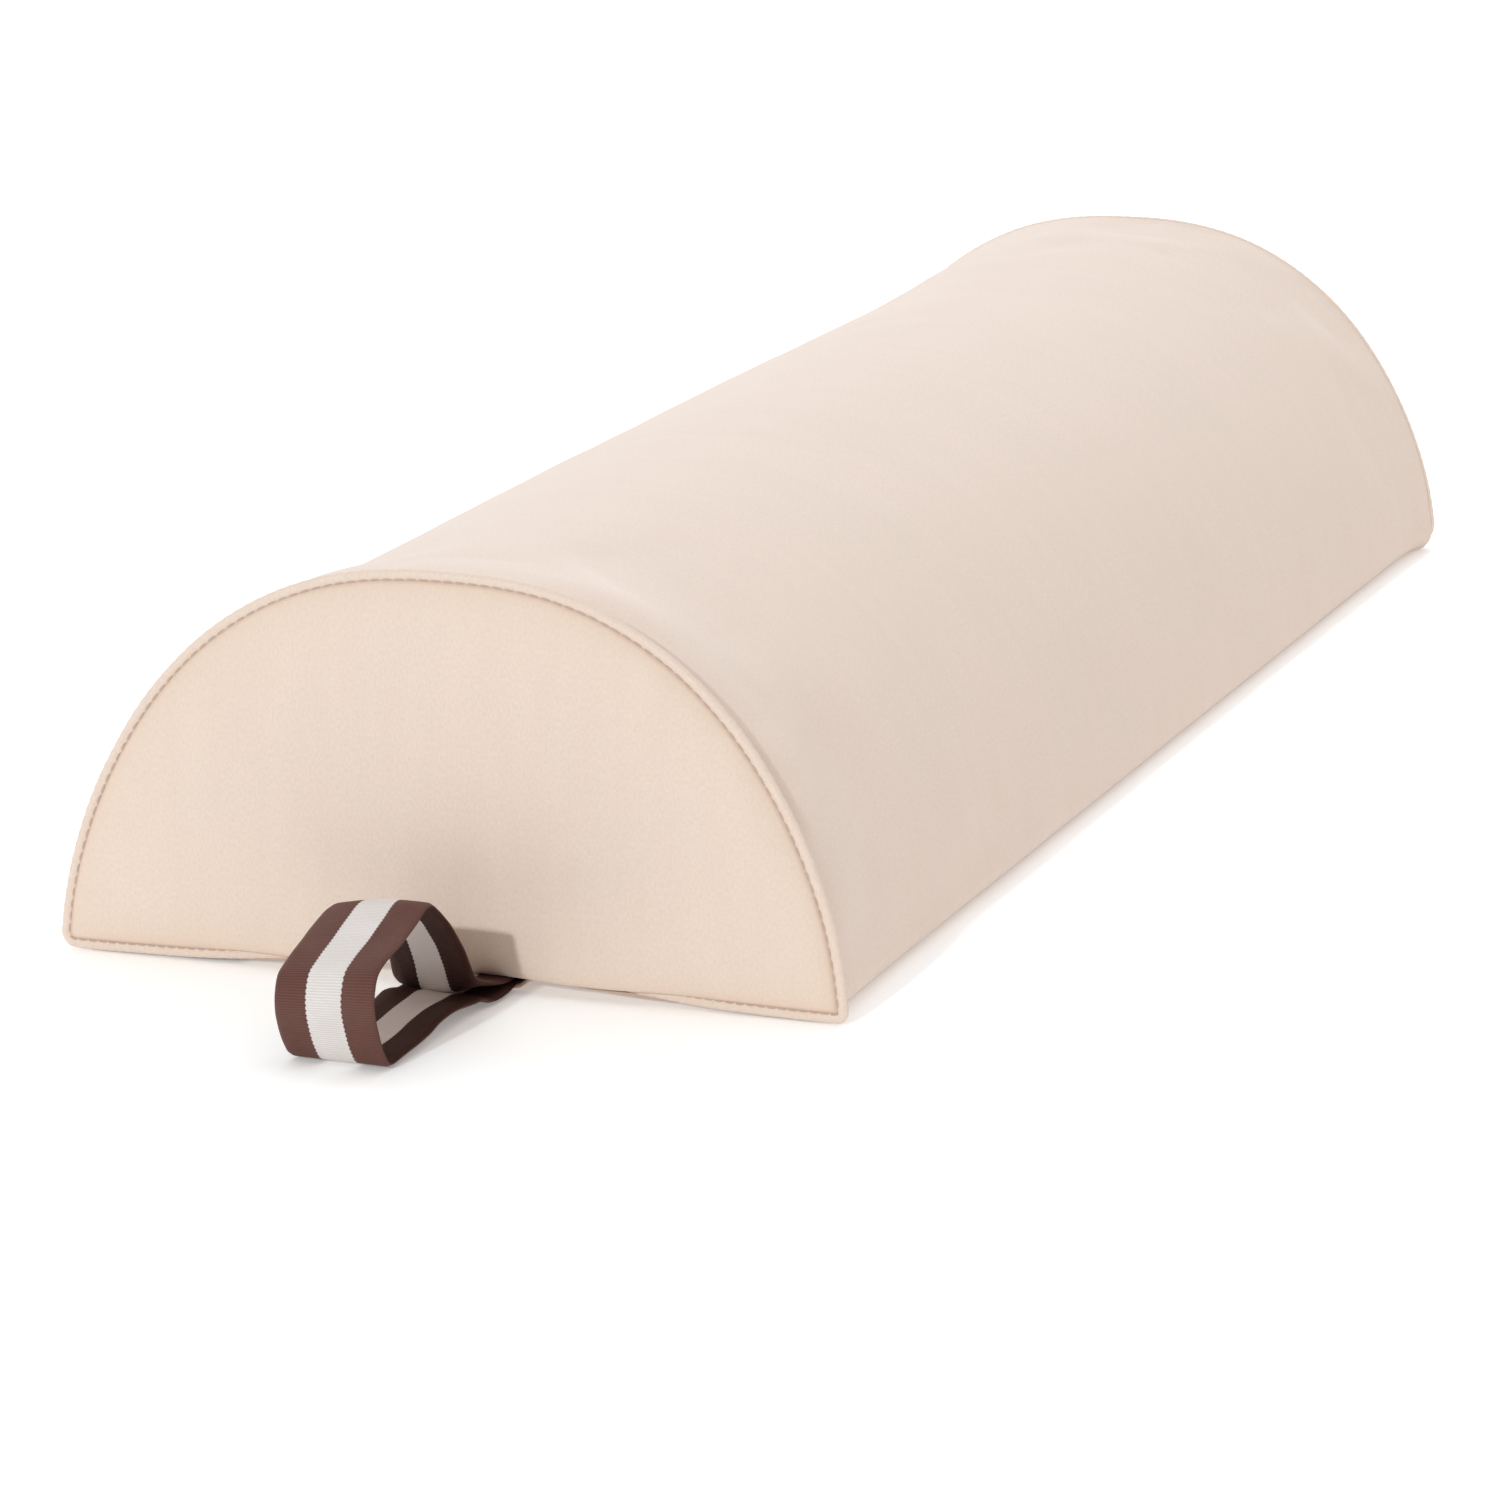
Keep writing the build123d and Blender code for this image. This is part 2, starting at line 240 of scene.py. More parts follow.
def make_mesh(name, points, faces, attributes=None, outward=None):
    """Mesh object from points in millimetres. The faces turn to agree with the outward directions."""
    mesh = bpy.data.meshes.new(name)
    mesh.from_pydata((np.asarray(points) / MM).tolist(), [], [list(map(int, f)) for f in faces])
    for key, values in (attributes or {}).items():
        values = np.asarray(values, np.float32)
        kind, field = ("FLOAT_VECTOR", "vector") if values.ndim == 2 else ("FLOAT", "value")
        mesh.attributes.new(key, kind, "POINT").data.foreach_set(field, values.ravel())
    if outward is None:
        edit = bmesh.new()
        edit.from_mesh(mesh)
        bmesh.ops.recalc_face_normals(edit, faces=edit.faces)
        edit.to_mesh(mesh)
        edit.free()
    else:
        normals = np.array([p.normal for p in mesh.polygons])
        first = np.array([p.vertices[0] for p in mesh.polygons])
        if np.sum(normals * outward[first]) < 0:
            mesh.flip_normals()
    mesh.polygons.foreach_set("use_smooth", [True] * len(mesh.polygons))
    return new_object(name, mesh)


def thicken(piece, thickness):
    """Give a sheet its thickness, inwards."""
    solid = piece.modifiers.new("Thickness", "SOLIDIFY")
    adjust(solid, thickness=thickness / MM, offset=-1, use_even_offset=False)
    return piece


def simulate(name, points, faces, pinned, growth, cap):
    """Blow up a coarse sheet with the cloth solver; gives each point's movement in millimetres."""
    sheet = make_mesh(name, points, faces)
    sheet.vertex_groups.new(name="pinned").add([int(i) for i in pinned], 1.0, "REPLACE")
    settings = sheet.modifiers.new("Cloth", "CLOTH").settings
    adjust(settings, **CLOTH, shrink_min=-growth, vertex_group_mass="pinned")
    settings.effector_weights.gravity = 0
    for step in range(1, CLOTH_STEPS + 1):
        bpy.context.scene.frame_set(step)
    evaluated = sheet.evaluated_get(bpy.context.evaluated_depsgraph_get()).to_mesh()
    after = np.zeros(len(points) * 3, np.float32)
    evaluated.vertices.foreach_get("co", after)
    moved = after.reshape(-1, 3) * MM - points
    bpy.data.objects.remove(sheet)
    bpy.context.scene.frame_set(1)
    length = np.linalg.norm(moved, axis=1, keepdims=True)
    return moved * cap * np.tanh(length / cap) / np.maximum(length, 1e-6)


def softened(field, passes):
    """A grid of heights with its finest creases smoothed out; its border is kept."""
    field = field.copy()
    for _ in range(passes):
        field[1:-1] = (field[:-2] + 2 * field[1:-1] + field[2:]) / 4
        field[:, 1:-1] = (field[:, :-2] + 2 * field[:, 1:-1] + field[:, 2:]) / 4
    return field


def paint(piece, material):
    """Give a piece its only material."""
    piece.data.materials.clear()
    piece.data.materials.append(material)


def dress(piece, material, slot, *nodes, body="bolster", fill=None):
    """Give a piece its material and body, and hide the CAD nodes that it stands for; slot and fill are not
    used.
    """
    paint(piece, material)
    if body:
        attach(piece, body)
    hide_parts(*nodes)
    return piece


# ---- section of the bolster

def arch(inset, theta):
    """Point of the half-round top, from 0 at the rear edge to pi at the front edge."""
    rise = np.minimum(theta, math.pi - theta)
    reach = 1 - FULLNESS * (np.sin(4 * rise) - CREST * np.exp(-4 * (math.pi / 2 - rise) / CREST))
    y = (HALF - inset) * reach * np.cos(theta)
    z = SHOULDER + (TOP - SHOULDER - inset) * reach * np.sin(theta)
    return np.stack([y, z], axis=-1)


def strap_lift(y):
    """How far the strap holds the bottom of its end seam off the floor."""
    return STRAP_LIFT * np.exp(-(np.abs(y) / 46) ** 1.6)


def strap_tuck(y):
    """How far the bottom of the strap end's seam is drawn under the bolster."""
    return STRAP_PULL * np.exp(-(np.abs(y) / np.where(y < 0, 63, 56)) ** 4)


def outline(inset, side, count):
    """Closed D at a distance inside the rim, from the middle of the base towards the front."""
    front, rear = (max(radius - inset, 1.2) for radius in CORNERS[side])
    turn = np.linspace(0, math.pi / 2, 24)
    top = arch(inset, np.linspace(math.pi, 0, 1200))
    top = top[top[:, 1] > np.where(top[:, 0] < 0, inset + front, inset + rear) + 0.02]
    left, right = -top[0, 0], top[-1, 0]
    base_front = np.stack([np.linspace(0, front - left, 160), np.full(160, inset)], axis=1)
    sine, cosine = np.sin(turn), np.cos(turn)
    corner_front = np.stack([front - left - front * sine, inset + front - front * cosine], axis=1)
    corner_rear = np.stack([right - rear + rear * cosine, inset + rear - rear * sine], axis=1)
    base_rear = np.stack([np.linspace(right - rear, 0, 160), np.full(160, inset)], axis=1)
    path = np.concatenate([base_front, corner_front[1:], top, corner_rear, base_rear[1:]])
    run = along(path)
    front_corner = run[160 + 12]
    rear_corner = run[-160 - 12]
    stops = [0, CORNER_SHARE, 1 - CORNER_SHARE, 1]
    place = np.interp(np.arange(count) / count, stops, [0, front_corner, rear_corner, run[-1]])
    found = at_distance(path, place)
    if side < 0:
        low = 1 - smooth((found[:, 1] - inset) / 12)
        found[:, 1] += strap_lift(found[:, 0]) * low * math.exp(-inset / 22)
    return found


def heading(path):
    """Directions along a closed outline."""
    return unit(np.roll(path, -1, axis=0) - np.roll(path, 1, axis=0))


def left_of(steps):
    """Directions turned to the left: outwards for an outline that starts towards the front."""
    return steps[:, ::-1] * [-1, 1]


def barrel_section(inset, count):
    """Open section of the barrel, from the front long seam over the top to the rear one."""
    top = arch(inset, np.linspace(math.pi, 0, 1500))
    top = top[top[:, 1] > EDGE_RADIUS]
    edge = abs(top[0, 0])
    turn = np.linspace(math.radians(17), math.pi / 2, 24)
    roll = EDGE_RADIUS * np.stack([1 - np.sin(turn), 1 - np.cos(turn)], axis=1) - [edge, 0]
    tuck = roll[:1] + [[0.4, 1.4], [0.25, 0.5]]
    path = np.concatenate([tuck, roll[:-1], top, (roll[:-1] * [-1, 1])[::-1], (tuck * [-1, 1])[::-1]])
    run = along(path)
    return at_distance(path, np.linspace(0, run[-1], count))


# ---- cover over the barrel

def barrel_puckers(seed, x, s, length, side):
    """Shallow gathers that run from one end seam along the barrel."""
    draw = np.random.default_rng(seed)
    d = BARREL_END - side * x
    field = np.zeros(np.broadcast(x, s).shape)
    place = 8.0
    while place < length:
        size = draw.uniform(0.08, 0.34)
        width = draw.uniform(3.5, 8)
        decay = draw.uniform(16, 60)
        field -= size * bell(s - place - 0.06 * d * draw.uniform(-1, 1), width) * np.exp(-d / decay)
        place += draw.uniform(9, 26)
    return field * (1 - np.exp(-d / 3.5))


# Long shallow folds on top, behind the crest: place, depth, width and length
REAR_FOLDS = [(0, 0.22, 8, 95), (17, 0.2, 6, 70), (-15, 0.2, 6, 80), (33, 0.25, 8, 60)]


def barrel_detail(x, s, length):
    """Height of the barrel's surface over its section, in millimetres."""
    near = BARREL_END + x
    far = BARREL_END - x
    over = smooth(s / 40) * smooth((length - s) / 40)
    height = over * (2.6 * bell(near - 10, 24) + 2.5 * bell(far - 8, 62))
    height = height - 1.3 * np.exp(-near / 4.5) - 0.4 * np.exp(-near / 1.5)
    height = height + (3.1 - 2.1 * over) * np.exp(-far / 10)
    height = height + barrel_puckers(11, x, s, length, -1) + barrel_puckers(12, x, s, length, 1)
    stitch = np.cos(TAU * s / STITCH_PITCH)
    height -= 0.07 * (1 + stitch) * (np.exp(-near / 2.2) + np.exp(-far / 2.2))
    fade = (1 - np.exp(-near / 25)) * (1 - np.exp(-far / 25))
    height += 0.20 * fade * waves(21, x, s, (150, 320), 9)
    height += 0.09 * fade * waves(22, x * 1.6, s * 0.8, (38, 90), 12)
    height += 0.03 * waves(23, x, s * 0.16, (9, 24), 18)
    rear_top = length * 0.55
    for offset, size, width, reach in REAR_FOLDS:
        height -= size * bell(s - rear_top - offset - 0.1 * near, width) * bell(near - 34, reach)
    height -= 0.55 * bell(x - 115 + 0.3 * (s - length * 0.56), 16) * bell(s - length * 0.56, 26)
    fuller_edge = bell(s - 9, 6) * (0.5 * bell(x + 165, 38) + 1.8 * np.exp(-near / 28))
    return height + fuller_edge + BARREL_SLACK


BARREL_COLUMNS = 350
COARSE_GRID = (120, 60)  # of the sheet that is simulated: along and round


def barrel_cover(material):
    """Vinyl panel over the top and both sides."""
    columns = BARREL_COLUMNS
    section = barrel_section(BARREL_INSET, columns)
    run = along(section)
    normal = left_of(unit(np.gradient(section, axis=0)))
    x = graded(-BARREL_END, BARREL_END, 0.45, 3.2, 60)
    lengths, rounds = COARSE_GRID
    coarse_x = np.linspace(-BARREL_END, BARREL_END, lengths)
    pick = np.linspace(0, columns - 1, rounds)
    coarse_section, coarse_normal = cubic(section, pick), cubic(normal, pick)
    coarse = swept(coarse_x, np.broadcast_to(coarse_section, (lengths, rounds, 2)))
    index = np.arange(lengths * rounds).reshape(lengths, rounds)
    pinned = np.unique(np.concatenate([index[0], index[-1], index[:, 0], index[:, -1]]))
    moved = simulate("barrel_sheet", coarse, grid_faces(lengths, rounds), pinned, 0.002, 2.0)
    swell = np.sum(moved[:, 1:].reshape(lengths, rounds, 2) * coarse_normal, axis=2)
    swell = softened(swell, 3).clip(-0.25)
    rows = np.interp(x, coarse_x, np.arange(lengths))
    swell = cubic(cubic(swell, rows).T, np.interp(np.arange(columns), pick, np.arange(rounds))).T
    height = barrel_detail(x[:, None], run[None, :], run[-1]) + swell
    held = smooth(run / 9) * smooth((run[-1] - run) / 9)
    held = held + (1 - held) * 0.8 * np.exp(-(BARREL_END - x[:, None]) / 12) * smooth(run / 3)
    height *= 0.1 + 0.9 * held
    yz = section[None] + normal[None] * height[..., None]
    yz[..., 1] = np.maximum(yz[..., 1], 0.05)
    fabric = flat_cloth(x, run)
    # Painted shade: darker and warmer in the valleys behind both lips, most at the strap end, and along the
    # long seams; the same mask roughens the vinyl.
    ends = BARREL_END - np.abs(np.repeat(x, columns))
    sides = np.tile(np.minimum(run, run[-1] - run), len(x))
    depth = np.where(x < 0, 0.85, 0.45).repeat(columns)
    reach = np.where(x < 0, 2.4, 1.4).repeat(columns)
    seam = np.maximum(depth * np.exp(-ends / reach), 0.8 * np.exp(-sides / 2.5))
    outward = np.tile(np.concatenate([np.zeros((columns, 1)), normal], axis=1), (len(x), 1))
    faces = grid_faces(len(x), columns)
    piece = make_mesh("barrel_cover", swept(x, yz), faces, {"fabric": fabric, "seam": seam}, outward)
    return dress(thicken(piece, VINYL), material, "cream_vinyl", "barrel_panel", fill=1.0)


# ---- end panels

def panel_layout(side, spokes, insets, split):
    """Points (y, z) and faces of a D-shaped panel: rings at the rim, then a patch of quads."""
    rings = [outline(inset, side, spokes) for inset in insets]
    points = list(np.concatenate(rings))
    faces = [list(f) for f in grid_faces(len(rings), spokes, wrap=True)]
    outer = [(len(rings) - 1) * spokes + k for k in range(spokes)]
    count = spokes // 2 if split else spokes
    if split:
        start = len(points)
        points += list(outline(insets[-1] + 1.2, side, count))
        for k in range(count):
            a, b, c = outer[2 * k], outer[2 * k + 1], outer[(2 * k + 2) % spokes]
            d, e = start + k, start + (k + 1) % count
            faces += [[a, b, d], [b, c, e], [b, e, d]]
        outer = [start + k for k in range(count)]
    corner = round(CORNER_SHARE * count)
    wide, tall = 2 * corner, (count - 4 * corner) // 2
    across, up = np.arange(wide + 1), np.arange(tall + 1)
    outer = np.array(outer)
    base, top = outer[(across - corner) % count], outer[count - corner - tall - across]
    rear, front = outer[(-corner - up) % count], outer[corner + up]
    ring = np.array(points)
    u = np.linspace(0, 1, wide + 1)[:, None, None]
    v = np.linspace(0, 1, tall + 1)[None, :, None]
    patch = (1 - v) * ring[base][:, None] + v * ring[top][:, None]
    patch = patch + (1 - u) * ring[rear][None] + u * ring[front][None]
    patch = patch - (1 - u) * (1 - v) * ring[base[0]] - u * (1 - v) * ring[base[-1]]
    patch = patch - (1 - u) * v * ring[top[0]] - u * v * ring[top[-1]]
    index = np.zeros((wide + 1, tall + 1), int)
    index[:, 0], index[:, -1], index[0], index[-1] = base, top, rear, front
    start = len(points)
    index[1:-1, 1:-1] = start + np.arange((wide - 1) * (tall - 1)).reshape(wide - 1, tall - 1)
    points += list(patch[1:-1, 1:-1].reshape(-1, 2))
    quads = np.stack([index[:-1, :-1], index[1:, :-1], index[1:, 1:], index[:-1, 1:]], axis=-1)
    faces += quads.reshape(-1, 4).tolist()
    return np.array(points), faces


def rim_place(points, rim):
    """Distance from an outline and place along it, in millimetres, for points inside it."""
    run = along(rim)
    step = unit(np.gradient(rim, axis=0))
    distance = np.zeros(len(points))
    place = np.zeros(len(points))
    for first in range(0, len(points), BLOCK):
        part = points[first:first + BLOCK]
        nearest = np.linalg.norm(part[:, None] - rim[None], axis=2).argmin(axis=1)
        gap = part - rim[nearest]
        ahead = np.sum(gap * step[nearest], axis=1)
        distance[first:first + BLOCK] = np.sqrt(np.clip(np.sum(gap ** 2, axis=1) - ahead ** 2, 0, None))
        place[first:first + BLOCK] = run[nearest] + ahead
    return distance, place, run[-1]


def panel_puckers(seed, rise, s, y, z, length):
    """Soft gathers that run inwards from the end seam, strongest at the upper rear."""
    draw = np.random.default_rng(seed)
    field = np.zeros(len(rise))
    place = 6.0
    while place < length:
        size = draw.uniform(0.25, 0.75)
        width = draw.uniform(3.2, 6.5)
        reach = draw.uniform(11, 24)
        lean = draw.uniform(-0.25, 0.25)
        gap = s - place - lean * rise
        field -= size * bell(gap, width + 0.1 * rise) * np.exp(-rise / reach)
        place += draw.uniform(13, 23)
    upper_rear = bell(np.hypot(y - 62, z - 78), 62)
    return field * (1 - np.exp(-rise / 3.5)) * (0.5 + 0.9 * upper_rear) * smooth((z - 12) / 24)


# Distances of an end panel's rings of points from the rim
PANEL_RINGS = [2.1, 2.5, 2.8, 3.0, 3.2, 3.5, 3.9, 4.4, 5.0, 5.7, 6.5, 7.4, 8.4, 9.5, 10.7, 12.0, 13.3, 14.6]
COARSE_RINGS = [GROOVE, 6.5, 10.0]
COARSE_SPOKES = 132


def end_cover(end, side, material):
    """Vinyl panel that closes one end, pulled in at its stitched edge."""
    points, faces = panel_layout(side, SPOKES, PANEL_RINGS, split=True)
    y, z = points.T
    rim = outline(0, side, SPOKES)
    corner = round(CORNER_SHARE * SPOKES)
    base = np.concatenate([rim[-corner:], rim[:corner]])
    over, s, length = rim_place(points, rim[corner:-corner])
    under, _, _ = rim_place(points, base)
    d = np.minimum(over, under)
    over = np.clip(over - GROOVE, 0, None)
    under = np.clip(under - GROOVE, 0, None)
    rise = over + under - np.hypot(over, under)
    out = -GROOVE_DEPTH + (GROOVE_DEPTH + CROWN) * (1 - np.exp(-rise / CROWN_RUN))
    out -= 0.5 * np.clip(GROOVE - d, 0, None)
    out += DOME * smooth((rise - 2) / 48)
    out += panel_puckers(31 + side, rise, s, y, z, length)
    out += 0.22 * smooth((rise - 3) / 20) * waves(41 + side, y, z, (45, 120), 10)
    out += 0.10 * smooth((rise - 3) / 10) * waves(51 + side, y, z, (16, 34), 12)
    turn = np.tile(np.arange(SPOKES) / SPOKES, len(PANEL_RINGS))
    stitch = np.cos(TAU * STITCHES * turn)
    out[:len(turn)] -= 0.06 * (1 + stitch) / 2 * np.exp(-rise[:len(turn)] / 1.5)
    if side < 0:
        roll = strap_tuck(y) * (1 - smooth((z - 14) / 16))
        out -= roll * np.exp(-rise / 2.4)
        over_strap = 1.45 + 0.25 * bell(y - STRAP_Y + 2, 13)
        sag = over_strap * roll * (1 - np.exp(-rise / 1.3)) * np.exp(-rise / 22)
        z = z - sag + TUCK_RISE * roll * np.exp(-rise)
    coarse, coarse_faces = panel_layout(side, COARSE_SPOKES, COARSE_RINGS, split=False)
    sheet = np.concatenate([np.full((len(coarse), 1), side * END), coarse], axis=1)
    moved = simulate("end_sheet", sheet, coarse_faces, range(COARSE_SPOKES), 0.004, 2.2)[:, 0] * side
    for first in range(0, len(points), BLOCK):
        part = slice(first, first + BLOCK)
        weight = bell(np.linalg.norm(points[part, None] - coarse[None], axis=2), 6.0) + 1e-9
        out[part] += weight @ moved / weight.sum(axis=1) * smooth(rise[part] / 8) * 0.8
    solid = np.stack([side * (END + out), y, z], axis=1)
    fabric = np.stack([y, z, np.zeros(len(y))], axis=1) / MM
    # Painted shade: darker and warmer beside the stitched groove, and rougher there.
    seam = 0.7 * np.exp(-rise / 5) + 0.3 * np.exp(-rise / 1.5)
    outward = np.tile([float(side), 0, 0], (len(solid), 1))
    piece = make_mesh(f"end_cover_{end}", solid, faces, {"fabric": fabric, "seam": seam}, outward)
    return dress(thicken(piece, VINYL), material, "cream_vinyl", f"end_panel_{end}", fill=0.95)


# ---- lips and end stitches

def end_lip(end, side, material):
    """Rounded ridge of folded seam allowances round one end, pinched between stitches."""
    ring = 18
    path = outline(LIP / 2, side, SPOKES)
    normal = left_of(heading(path))
    phi = np.arange(ring) * TAU / ring
    s = np.arange(SPOKES) / SPOKES
    stitch = 0.5 + 0.5 * np.cos(TAU * STITCHES * s)
    uneven = waves(61 + side, np.cos(TAU * s) * 60, np.sin(TAU * s) * 60, (14, 40), 14)
    inner = (1 - np.cos(phi)) / 2
    pinch = 0.10 * stitch[:, None] + 0.09 * uneven[:, None]
    radial = (LIP / 2) * np.cos(phi)[None] - pinch * (1 - 0.4 * inner)
    across = (LIP / 2) * np.sin(phi)[None] * (0.84 + 0.16 * np.cos(phi))[None]
    across = across * (1 - 0.09 * stitch[:, None] + 0.05 * uneven[:, None])
    yz = path[:, None] + normal[:, None] * radial[..., None]
    yz[..., 1] = np.maximum(yz[..., 1], 0.02)
    x = END - LIP / 2 + across
    if side < 0:
        low = 1 - smooth((path[:, 1] - 6) / 12)
        tuck = (strap_tuck(path[:, 0]) * low)[:, None]
        x = x - tuck
        yz[..., 1] = yz[..., 1] + TUCK_RISE * tuck
    points = np.concatenate([side * x[..., None], yz], axis=2).reshape(-1, 3)
    fabric = flat_cloth(s * 530, phi * LIP / 2)
    # Painted shade on the lip: its inner side in the groove and its side towards the barrel are darkened,
    # much more at the strap end.
    painted_root_shade = (0.55 - 0.35 * side) * np.clip(-np.sin(phi), 0, 1) ** 3
    seam = np.tile(np.maximum(0.6 * inner ** 3, painted_root_shade), SPOKES)
    faces = grid_faces(SPOKES, ring, wrap=True).tolist()
    last = (SPOKES - 1) * ring
    faces += [[last + k, last + (k + 1) % ring, (k + 1) % ring, k] for k in range(ring)]
    piece = make_mesh(f"lip_{end}", points, faces, {"fabric": fabric, "seam": seam})
    return dress(piece, material, "cream_vinyl", f"seam_lip_{end}", fill=1.0)


def stitch_mesh(name, places, runs, ups, size, material, slot, node):
    """Separate stitches: short plump threads, each dipping into the cloth at both ends."""
    rings, sides = 9, 8
    length, width, height = size
    t = np.linspace(-1, 1, rings)
    phi = np.arange(sides) * TAU / sides
    plump = np.sqrt(np.clip(1 - np.abs(t) ** 3, 0.02, 1))
    a = np.repeat(t * length / 2, sides)
    b = (plump[:, None] * np.cos(phi)[None] * width / 2).ravel()
    dip = np.abs(t) ** 2 * height * 0.55
    c = (plump[:, None] * np.sin(phi)[None] * height / 2 - dip[:, None]).ravel()
    sideways = np.cross(ups, runs)
    points = places[:, None] + runs[:, None] * a[None, :, None]
    points = points + sideways[:, None] * b[None, :, None] + ups[:, None] * c[None, :, None]
    one = tube_faces(rings, sides)
    faces = [[i + n * rings * sides for i in f] for n in range(len(places)) for f in one]
    thread = np.tile(np.stack([a, np.tile(phi, rings) * width / 2, a * 0], axis=1), (len(places), 1))
    thread[:, 2] = np.repeat(np.arange(len(places)), rings * sides)
    piece = make_mesh(name, points.reshape(-1, 3), faces, {"fabric": thread / MM})
    return dress(piece, material, slot, node)


def end_stitches(end, side, material):
    """Row of stitches in the groove round one end."""
    path = outline(GROOVE, side, STITCHES * 8)
    run = heading(path)
    middle = slice(4, None, 8)
    draw = np.random.default_rng(71)
    spots = path[middle] + left_of(run)[middle] * draw.uniform(-0.06, 0.06, (STITCHES, 1))
    x = np.full(STITCHES, END - GROOVE_DEPTH + 0.22)
    if side < 0:
        tuck = strap_tuck(spots[:, 0]) * (1 - smooth((spots[:, 1] - 8) / 14))
        x = x - tuck
        spots[:, 1] += TUCK_RISE * tuck
    places = np.stack([side * x, *spots.T], axis=1)
    runs = np.stack([np.zeros(STITCHES), *run[middle].T], axis=1)
    ups = np.tile([float(side), 0, 0], (STITCHES, 1))
    name, node = f"end_stitches_{end}", f"end_seam_thread_{end}"
    return stitch_mesh(name, places, runs, ups, END_STITCH, material, "cream_thread", node)


def straight_stitches(name, x, y, material, slot, node):
    """Stitches along x on a level surface, at the places x and y."""
    z = box_mm(node)[1][2] - 0.25
    places = np.stack([x, y, np.full(len(x), z)], axis=1)
    runs = np.tile([1.0, 0, 0], (len(x), 1))
    ups = np.tile([0.0, 0, 1], (len(x), 1))
    return stitch_mesh(name, places, runs, ups, LONG_STITCH, material, slot, node)


# ---- underside

def lifted_by_strap(x, y):
    """Height of the underside at the strap end, where the seam rises beside the webbing."""
    clear = smooth((np.abs(y - STRAP_Y + 1.8) - STRAP_HALF - 0.5) / 6)
    return strap_lift(y) * clear * np.exp(-(x + BARREL_END) / 14)


def base_cover(edge, outer, material):
    """Flat vinyl panel: rounded at the long seam, turned up and folded back at the zip."""
    node = f"base_panel_{edge}"
    low, high = box_mm(node)
    inward = -outer
    seam_edge, zip_edge = (low[1], high[1])[::inward]
    seam_edge += inward * SEAM_PLAY
    top = high[2]
    turn = np.linspace(0, math.pi / 2, 9)
    sine, cosine = np.sin(turn), np.cos(turn)
    start = np.array([[seam_edge + inward * 2.2, 2.0], [seam_edge + inward * 1.0, 1.7]])
    seam_roll = [seam_edge + inward * 1.3 * (1 - sine[::-1]), 1.3 * (1 - cosine[::-1])]
    seam_roll = np.stack(seam_roll, axis=1)
    flat = np.linspace(seam_roll[-1, 0] + inward, zip_edge - inward * 2.5, 60)
    floor = np.stack([flat, np.zeros(60)], axis=1)
    up = np.stack([zip_edge - inward * (1.5 - 1.5 * sine), 1.5 - 1.5 * cosine], axis=1)
    back = np.stack([zip_edge - inward * (1.2 - 1.2 * cosine), top - 1.2 + 1.2 * sine], axis=1)
    tail = np.array([[zip_edge - inward * 9.5, top]])
    section = np.concatenate([start, seam_roll, floor, up, back, tail])
    run = along(section)
    x = graded(-BARREL_END, BARREL_END, 1.2, 4.5, 50)
    grid = np.broadcast_to(section[None], (len(x), len(section), 2)).copy()
    on_floor = bell(grid[..., 1], 0.6)
    ripple = 0.5 + 0.5 * waves(81, x[:, None], run[None], (30, 110), 12)
    by_seam = np.exp(-np.abs(run - run[len(start) + 4]) / 3)
    pull = np.abs(np.sin(math.pi * x / 4.0))[:, None] * by_seam[None]
    grid[..., 1] += on_floor * (0.16 * np.clip(ripple, 0, None) + 0.05 * pull)
    grid[..., 1] += lifted_by_strap(x[:, None], grid[..., 0])
    wave = 0.35 * waves(82, x, x * 0, (45, 140), 8)
    near_zip = smooth((run - (run[-1] - 16)) / 5)
    grid[..., 0] += wave[:, None] * near_zip[None]
    points = swept(x, grid)
    ends = BARREL_END - np.abs(points[:, 0])
    # Painted shade: darker and warmer by the long seam and at both ends, and rougher there.
    seam = np.maximum(np.exp(-np.tile(run, len(x)) / 3), np.exp(-ends / 2.5))
    attributes = {"fabric": flat_cloth(x, run), "seam": seam}
    outward = points - [0, (seam_edge + zip_edge) / 2, 3.0]
    outward[:, 0] = 0
    piece = make_mesh(f"base_cover_{edge}", points, grid_faces(len(x), len(run)), attributes, outward)
    return dress(thicken(piece, VINYL * 0.9), material, "cream_vinyl", node, fill=1.0)


